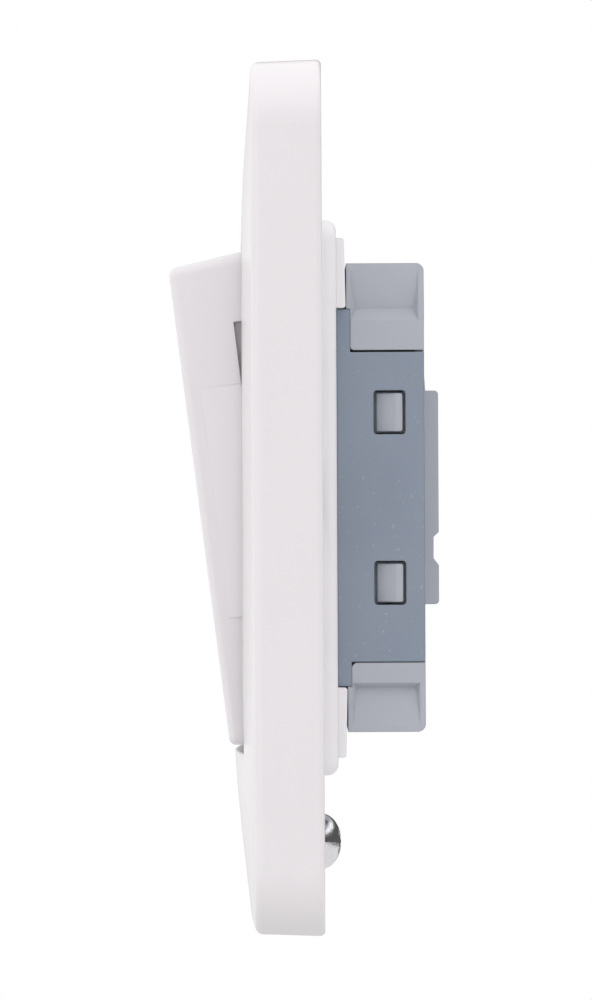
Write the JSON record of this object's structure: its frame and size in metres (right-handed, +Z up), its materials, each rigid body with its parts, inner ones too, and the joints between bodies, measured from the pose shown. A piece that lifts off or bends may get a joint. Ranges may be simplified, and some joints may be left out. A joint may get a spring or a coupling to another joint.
{
  "type": "rocker wall switch",
  "caption": "Square wall switch with a crowned clip-on cover, a wide tilting rocker and a two-way switch module with screw terminals behind it.",
  "frame": {"origin": "centre of the cover's back rim, on the wall plane, midway between the fixing holes", "axes": "+Y into the wall, -Y out of the front, +X to the right seen from the front, +Z up"},
  "size_m": [0.0866, 0.027, 0.0866],
  "materials": {
    "white_gloss": "glossy moulded white",
    "white_grid": "moulded white, less polished",
    "natural_plastic": "natural moulded, satin",
    "dark_grey_plastic": "satin blue-grey",
    "light_grey_plastic": "satin light grey",
    "copper": "bare copper alloy",
    "silver": "silver alloy",
    "brass": "bare brass",
    "plated_steel": "zinc plated",
    "spring_steel": "bright drawn wire",
    "chrome_steel": "bright plated",
    "fibre_board": "pressed fibre"
  },
  "bodies": {
    "switch_body": {"mounting_grid": "white_grid", "module_housing": "dark_grey_plastic", "module_base": "light_grey_plastic", "insulating_sheet": "fibre_board", "common_strap": "brass", "line_one_strap": "brass", "line_two_strap": "brass", "line_one_contact": "silver", "line_two_contact": "silver", "common_terminal": "brass", "line_one_terminal": "brass", "line_two_terminal": "brass", "earth_insert": "brass", "earth_washer": "plated_steel"},
    "cover": {"front_cover": "white_gloss"},
    "rocker_unit": {"rocker": "white_gloss", "rocker_carrier": "natural_plastic", "plunger_spring": "spring_steel"},
    "plunger_unit": {"plunger": "natural_plastic"},
    "contact_blade": {"contact_bridge": "copper", "moving_tips": "silver"},
    "line_one_clamp": {"line_one_screw": "plated_steel"},
    "common_clamp": {"common_screw": "plated_steel"},
    "line_two_clamp": {"line_two_screw": "plated_steel"},
    "earth_clamp": {"earth_screw": "chrome_steel"}
  },
  "joints": [
    {"name": "rocker_tilt", "type": "hinge", "parent": "switch_body", "child": "rocker_unit", "pos_m": [0, -0.0066, 0], "axis": [-1, 0, 0], "range_deg": [0, 14.2]},
    {"name": "blade_tilt", "type": "hinge", "parent": "switch_body", "child": "contact_blade", "pos_m": [0, 0.005, 0], "axis": [-1, 0, 0], "range_deg": [-16, 0]},
    {"name": "plunger_travel", "type": "slide", "parent": "rocker_unit", "child": "plunger_unit", "axis": [0, -0.9923, -0.1236], "range_m": [0, 0.001], "stiffness_N_per_m": 600, "springref_m": -0.002, "deforming": ["plunger_spring"]},
    {"name": "cover_release", "type": "slide", "parent": "switch_body", "child": "cover", "axis": [0, -1, 0], "range_m": [0, 0.014]},
    {"name": "line_one_screw_travel", "type": "slide", "parent": "switch_body", "child": "line_one_clamp", "axis": [0, -1, 0], "range_m": [0, 0.0026]},
    {"name": "common_screw_travel", "type": "slide", "parent": "switch_body", "child": "common_clamp", "axis": [0, -1, 0], "range_m": [0, 0.0026]},
    {"name": "line_two_screw_travel", "type": "slide", "parent": "switch_body", "child": "line_two_clamp", "axis": [0, -1, 0], "range_m": [0, 0.0026]},
    {"name": "earth_screw_travel", "type": "slide", "parent": "switch_body", "child": "earth_clamp", "axis": [0, 1, 0], "range_m": [0, 0.0025]}
  ],
  "couplings": [
    {"joint": "blade_tilt", "follows": "rocker_tilt", "ratio": -1.125}
  ]
}
